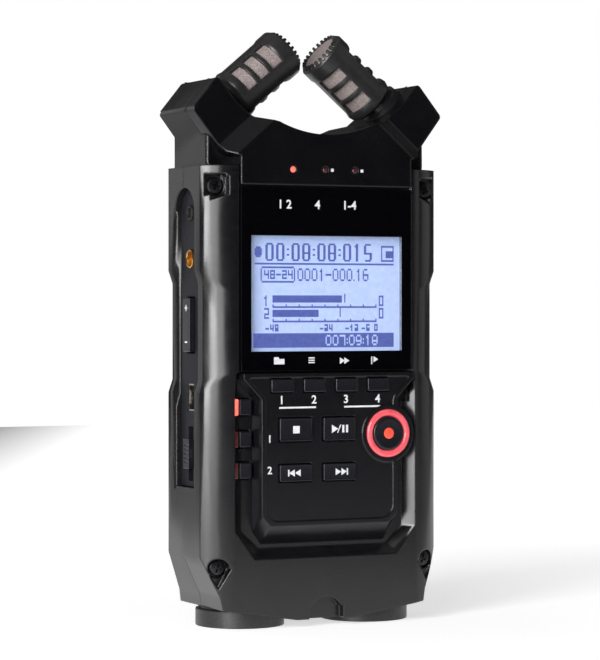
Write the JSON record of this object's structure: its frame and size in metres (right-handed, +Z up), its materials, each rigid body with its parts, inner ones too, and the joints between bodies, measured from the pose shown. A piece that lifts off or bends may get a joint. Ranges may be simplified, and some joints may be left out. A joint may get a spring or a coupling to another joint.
{
  "type": "handheld voice recorder",
  "caption": "Handheld voice recorder with crossed turning microphones, backlit display, key panel and combo jacks in its base.",
  "frame": {"origin": "middle of the footprint, on the plane of the two base rings that the recorder stands on", "axes": "+X to the display's right, +Y to the back, +Z up to the microphones"},
  "size_m": [0.073, 0.0364, 0.1572],
  "materials": {
    "case_black": "satin moulded, finely brushed rails",
    "gloss_black": "gloss",
    "lcd": "backlit",
    "lcd_bezel": "matt",
    "head_satin": "satin",
    "dark_metal": "satin black",
    "red_ring": "translucent",
    "board_green": "solder mask",
    "rubber_grey": "matt",
    "steel": "plain",
    "screw_black": "black oxide",
    "cell_wrap": "printed film, plain",
    "speaker_black": "matt",
    "gold": "polished plate",
    "jack_ring": "semi gloss",
    "jack_plastic": "smooth",
    "card_black": "plain",
    "key_black": "satin",
    "red_lamp": "lit",
    "grey_mesh": "fine woven mesh"
  },
  "bodies": {
    "recorder": {"front_shell": "case_black", "rear_shell": "case_black", "left_port_panel": "case_black", "right_port_panel": "case_black", "display_window": "gloss_black", "lcd_glass": "lcd", "lcd_frame": "lcd_bezel", "key_panel": "gloss_black", "head_front_cover": "gloss_black", "head_rear_cover": "head_satin", "mic_bushes": "dark_metal", "rec_ring": "red_ring", "main_board": "board_green", "key_mat": "rubber_grey", "tact_switches": "steel", "board_screws": "steel", "case_screws": "screw_black", "battery_tray": "case_black", "aa_cells": "cell_wrap", "battery_contacts": "steel", "speaker_driver": "speaker_black", "tripod_bush": "gold", "left_combo_jack": "jack_ring", "right_combo_jack": "jack_ring", "dc_jack": "jack_plastic", "ext_mic_jack": "jack_plastic", "phones_jack": "gold", "remote_jack": "jack_plastic", "usb_port": "steel", "sd_socket": "steel", "sd_card": "card_black", "mode_lamps": "red_lamp", "input_lamps": "red_lamp"},
    "stop_key": {"stop_key": "key_black"},
    "play_key": {"play_key": "key_black"},
    "rewind_key": {"rewind_key": "key_black"},
    "forward_key": {"forward_key": "key_black"},
    "track_key_1": {"track_key_1": "key_black"},
    "track_key_2": {"track_key_2": "key_black"},
    "track_key_3": {"track_key_3": "key_black"},
    "track_key_4": {"track_key_4": "key_black"},
    "rec_key": {"rec_key": "key_black"},
    "input_key_1": {"input_key_1": "key_black"},
    "input_key_2": {"input_key_2": "key_black"},
    "input_key_3": {"input_key_3": "key_black"},
    "menu_key": {"menu_key": "key_black"},
    "volume_rocker": {"volume_rocker": "key_black"},
    "level_rocker": {"level_rocker": "key_black"},
    "power_knob": {"power_knob": "key_black"},
    "scroll_dial": {"scroll_dial": "key_black"},
    "sd_door": {"sd_door": "case_black"},
    "battery_door": {"battery_door": "case_black"},
    "left_jack_latch": {"left_jack_latch": "jack_plastic"},
    "right_jack_latch": {"right_jack_latch": "jack_plastic"},
    "left_mic": {"left_mic_cage": "dark_metal", "left_mic_mesh": "grey_mesh", "left_mic_capsule": "jack_plastic"},
    "right_mic": {"right_mic_cage": "dark_metal", "right_mic_mesh": "grey_mesh", "right_mic_capsule": "jack_plastic"}
  },
  "joints": [
    {"name": "stop_key_press", "type": "slide", "parent": "recorder", "child": "stop_key", "axis": [0, 1, 0], "range_m": [0, 0.0005], "stiffness_N_per_m": 1200},
    {"name": "play_key_press", "type": "slide", "parent": "recorder", "child": "play_key", "axis": [0, 1, 0], "range_m": [0, 0.0005], "stiffness_N_per_m": 1200},
    {"name": "rewind_key_press", "type": "slide", "parent": "recorder", "child": "rewind_key", "axis": [0, 1, 0], "range_m": [0, 0.0005], "stiffness_N_per_m": 1200},
    {"name": "forward_key_press", "type": "slide", "parent": "recorder", "child": "forward_key", "axis": [0, 1, 0], "range_m": [0, 0.0005], "stiffness_N_per_m": 1200},
    {"name": "track_key_1_press", "type": "slide", "parent": "recorder", "child": "track_key_1", "axis": [0, 1, 0], "range_m": [0, 0.0005], "stiffness_N_per_m": 1200},
    {"name": "track_key_2_press", "type": "slide", "parent": "recorder", "child": "track_key_2", "axis": [0, 1, 0], "range_m": [0, 0.0005], "stiffness_N_per_m": 1200},
    {"name": "track_key_3_press", "type": "slide", "parent": "recorder", "child": "track_key_3", "axis": [0, 1, 0], "range_m": [0, 0.0005], "stiffness_N_per_m": 1200},
    {"name": "track_key_4_press", "type": "slide", "parent": "recorder", "child": "track_key_4", "axis": [0, 1, 0], "range_m": [0, 0.0005], "stiffness_N_per_m": 1200},
    {"name": "rec_key_press", "type": "slide", "parent": "recorder", "child": "rec_key", "axis": [0, 1, 0], "range_m": [0, 0.0005], "stiffness_N_per_m": 1200},
    {"name": "input_key_1_press", "type": "slide", "parent": "recorder", "child": "input_key_1", "axis": [0, 1, 0], "range_m": [0, 0.0005], "stiffness_N_per_m": 1200},
    {"name": "input_key_2_press", "type": "slide", "parent": "recorder", "child": "input_key_2", "axis": [0, 1, 0], "range_m": [0, 0.0005], "stiffness_N_per_m": 1200},
    {"name": "input_key_3_press", "type": "slide", "parent": "recorder", "child": "input_key_3", "axis": [0, 1, 0], "range_m": [0, 0.0005], "stiffness_N_per_m": 1200},
    {"name": "menu_key_press", "type": "slide", "parent": "recorder", "child": "menu_key", "axis": [-1, 0, 0], "range_m": [0, 0.0006], "stiffness_N_per_m": 1200},
    {"name": "volume_rocker_tilt", "type": "hinge", "parent": "recorder", "child": "volume_rocker", "pos_m": [-0.0293, -0.0009, 0.07875], "axis": [0, 1, 0], "range_deg": [-3, 3], "stiffness_Nm_per_rad": 0.03},
    {"name": "level_rocker_tilt", "type": "hinge", "parent": "recorder", "child": "level_rocker", "pos_m": [0.0293, -0.0009, 0.098], "axis": [0, 1, 0], "range_deg": [-3, 3], "stiffness_Nm_per_rad": 0.03},
    {"name": "power_knob_slide", "type": "slide", "parent": "recorder", "child": "power_knob", "axis": [0, 0, 1], "range_m": [-0.0035, 0.0035]},
    {"name": "scroll_dial_turn", "type": "hinge", "parent": "recorder", "child": "scroll_dial", "pos_m": [0.0276, -0.0009, 0.072], "axis": [0, 1, 0], "continuous": true},
    {"name": "sd_door_swing", "type": "hinge", "parent": "recorder", "child": "sd_door", "pos_m": [0.033, 0.0021, 0.0508], "axis": [0, 0, 1], "range_deg": [0, 100]},
    {"name": "battery_door_slide", "type": "slide", "parent": "recorder", "child": "battery_door", "axis": [0, 0, -1], "range_m": [0, 0.006]},
    {"name": "left_jack_latch_press", "type": "slide", "parent": "recorder", "child": "left_jack_latch", "axis": [0, 0, 1], "range_m": [0, 0.0012], "stiffness_N_per_m": 400},
    {"name": "right_jack_latch_press", "type": "slide", "parent": "recorder", "child": "right_jack_latch", "axis": [0, 0, 1], "range_m": [0, 0.0012], "stiffness_N_per_m": 400},
    {"name": "left_mic_turn", "type": "hinge", "parent": "recorder", "child": "left_mic", "pos_m": [-0.01335, 0, 0.1447], "axis": [0.8434, 0, 0.5373], "range_deg": [0, 180]},
    {"name": "right_mic_turn", "type": "hinge", "parent": "recorder", "child": "right_mic", "pos_m": [0.01335, 0, 0.1447], "axis": [-0.8434, 0, 0.5373], "range_deg": [-180, 0]}
  ]
}
